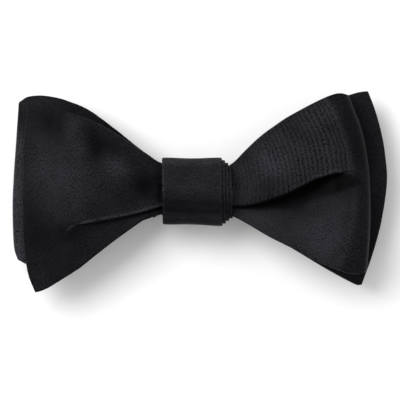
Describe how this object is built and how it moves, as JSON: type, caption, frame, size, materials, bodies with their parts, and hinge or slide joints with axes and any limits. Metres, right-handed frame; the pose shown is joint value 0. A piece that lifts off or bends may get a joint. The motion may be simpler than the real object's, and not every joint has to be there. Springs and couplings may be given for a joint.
{
  "type": "bow tie",
  "caption": "Ready-tied black butterfly bow tie: two stacked bows held by a wound knot, on a folding neck band with hook, eye and adjuster",
  "frame": {"origin": "centre of the bow's outline, on the surface that it lies on", "axes": "+X along the bow to the wearer's left, +Y up the wearer's chest, +Z out of the front of the knot"},
  "size_m": [0.1252, 0.067, 0.0236],
  "materials": {
    "silk": "black silk satin with a fine diagonal weave",
    "knot_silk": "black silk satin, wound tight",
    "band_silk": "black silk twill ribbon",
    "lining": "matt woven interlining",
    "thread": "black sewing thread",
    "metal": "nickel-plated, lightly worn"
  },
  "bodies": {
    "bow": {"front_waist": "silk", "rear_bow_silk": "silk", "rear_bow_interlining": "lining", "centre_tack": "thread", "knot_outer_turn": "knot_silk", "knot_second_turn": "knot_silk", "knot_third_turn": "knot_silk", "knot_inner_turn": "knot_silk", "knot_back_stitches": "thread", "band_middle": "band_silk"},
    "front_blade": {"front_blade_silk": "silk", "front_blade_interlining": "lining"},
    "front_loop": {"front_loop_silk": "silk", "front_loop_interlining": "lining"},
    "right_inner": {"band_right_1": "band_silk"},
    "right_middle": {"band_right_2": "band_silk"},
    "right_end": {"band_right_3": "band_silk"},
    "left_inner": {"band_left_1": "band_silk"},
    "left_middle": {"band_left_2": "band_silk"},
    "left_end": {"band_left_3": "band_silk", "band_left_tack": "thread"},
    "adjuster": {"adjuster_slide": "metal", "hook_strap": "band_silk", "hook_strap_tack": "thread"},
    "hook": {"hook": "metal"},
    "eye": {"eye": "metal"}
  },
  "joints": [
    {"name": "front_blade_flex", "type": "hinge", "parent": "bow", "child": "front_blade", "pos_m": [-0.0129, 0, 0.01467], "axis": [0, 1, 0], "range_deg": [0, 12], "stiffness_Nm_per_rad": 0.008},
    {"name": "front_loop_flex", "type": "hinge", "parent": "bow", "child": "front_loop", "pos_m": [0.0114, 0, 0.01432], "axis": [0, -1, 0], "range_deg": [0, 12], "stiffness_Nm_per_rad": 0.008},
    {"name": "right_outer_fold", "type": "hinge", "parent": "bow", "child": "right_inner", "pos_m": [0.05, 0, 0.00711], "axis": [0, -1, 0], "range_deg": [0, 180]},
    {"name": "right_inner_fold", "type": "hinge", "parent": "right_inner", "child": "right_middle", "pos_m": [0.004, 0, 0.00515], "axis": [0, 1, 0], "range_deg": [0, 180]},
    {"name": "right_end_fold", "type": "hinge", "parent": "right_middle", "child": "right_end", "pos_m": [0.05, 0, 0.00335], "axis": [0, -1, 0], "range_deg": [0, 180]},
    {"name": "adjuster_slide", "type": "slide", "parent": "right_end", "child": "adjuster", "axis": [1, 0, 0], "range_m": [0, 0.012]},
    {"name": "hook_swing", "type": "hinge", "parent": "adjuster", "child": "hook", "pos_m": [0.00685, 0, 0.00175], "axis": [0, -1, 0], "range_deg": [0, 90]},
    {"name": "left_outer_fold", "type": "hinge", "parent": "bow", "child": "left_inner", "pos_m": [-0.05, 0, 0.00711], "axis": [0, 1, 0], "range_deg": [0, 180]},
    {"name": "left_inner_fold", "type": "hinge", "parent": "left_inner", "child": "left_middle", "pos_m": [-0.004, 0, 0.00515], "axis": [0, -1, 0], "range_deg": [0, 180]},
    {"name": "left_end_fold", "type": "hinge", "parent": "left_middle", "child": "left_end", "pos_m": [-0.05, 0, 0.00335], "axis": [0, 1, 0], "range_deg": [0, 180]},
    {"name": "eye_swing", "type": "hinge", "parent": "left_end", "child": "eye", "pos_m": [-0.0115, 0, 0.00175], "axis": [0, 1, 0], "range_deg": [0, 90]}
  ],
  "couplings": [
    {"joint": "right_inner_fold", "follows": "right_outer_fold", "ratio": 1},
    {"joint": "right_end_fold", "follows": "right_outer_fold", "ratio": 1},
    {"joint": "left_inner_fold", "follows": "left_outer_fold", "ratio": 1},
    {"joint": "left_end_fold", "follows": "left_outer_fold", "ratio": 1}
  ]
}
